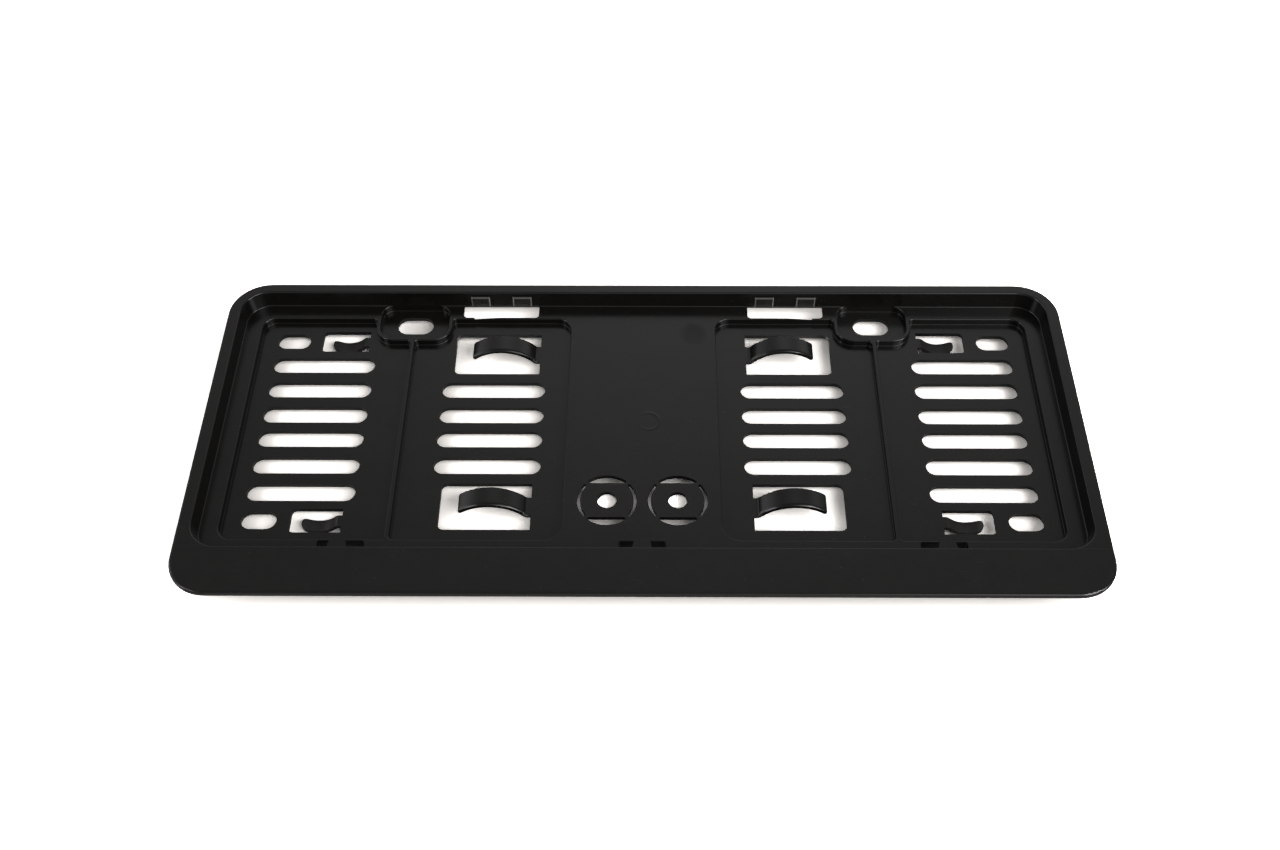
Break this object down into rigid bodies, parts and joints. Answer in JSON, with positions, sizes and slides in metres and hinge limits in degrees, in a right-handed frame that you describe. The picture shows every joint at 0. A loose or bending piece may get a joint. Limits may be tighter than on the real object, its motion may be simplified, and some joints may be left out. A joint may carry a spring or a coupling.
{
  "type": "number plate holder",
  "caption": "Black moulded tray that holds a car number plate, with a wide flange along one edge, rows of slots, spring tabs and screw cups.",
  "frame": {"origin": "under the middle of the outline, level with the lowest tabs", "axes": "+X along the long side, +Y from the wide flange to the back rim, +Z out of the open side"},
  "size_m": [0.3198, 0.14, 0.0147],
  "materials": {
    "plate_holder": "satin black moulded plastic"
  },
  "bodies": {
    "root": {"plate_holder": "plate_holder"}
  },
  "joints": []
}
